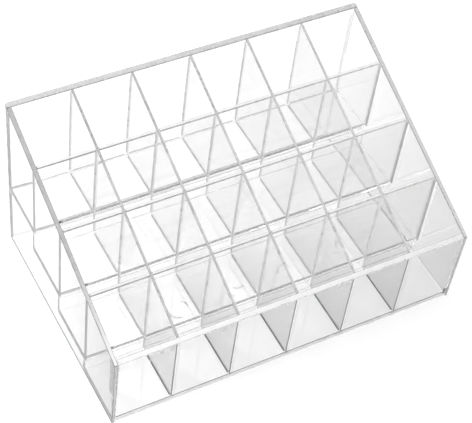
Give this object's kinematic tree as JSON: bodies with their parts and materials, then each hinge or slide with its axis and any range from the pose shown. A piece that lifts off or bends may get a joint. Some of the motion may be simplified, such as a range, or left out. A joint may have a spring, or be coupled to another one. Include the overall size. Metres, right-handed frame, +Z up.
{
  "type": "vanity organizer",
  "caption": "Clear stepped organizer for a vanity: rows of open upright cells that rise towards the back, for lipsticks and other small cosmetics.",
  "frame": {"origin": "under the middle of the base, on the surface it stands on", "axes": "+X to the right seen from the front, +Y to the high back, +Z up"},
  "size_m": [0.145, 0.0944, 0.0725],
  "materials": {
    "shell_sheet": "clear, polished, with bright cut rims",
    "stair_sheet": "clear, polished, with cement lines along its edges",
    "divider_sheet": "clear thin sheet, polished, with grey cut edges"
  },
  "bodies": {
    "root": {"back_panel": "shell_sheet", "front_panel": "shell_sheet", "left_side_panel": "shell_sheet", "right_side_panel": "shell_sheet", "front_row_floor": "stair_sheet", "second_row_floor": "stair_sheet", "third_row_floor": "stair_sheet", "back_row_floor": "stair_sheet", "lower_riser": "stair_sheet", "middle_riser": "stair_sheet", "upper_riser": "stair_sheet", "lower_row_divider": "divider_sheet", "middle_row_divider": "divider_sheet", "upper_row_divider": "divider_sheet", "column_divider_1": "divider_sheet", "column_divider_2": "divider_sheet", "column_divider_3": "divider_sheet", "column_divider_4": "divider_sheet", "column_divider_5": "divider_sheet"}
  },
  "joints": []
}
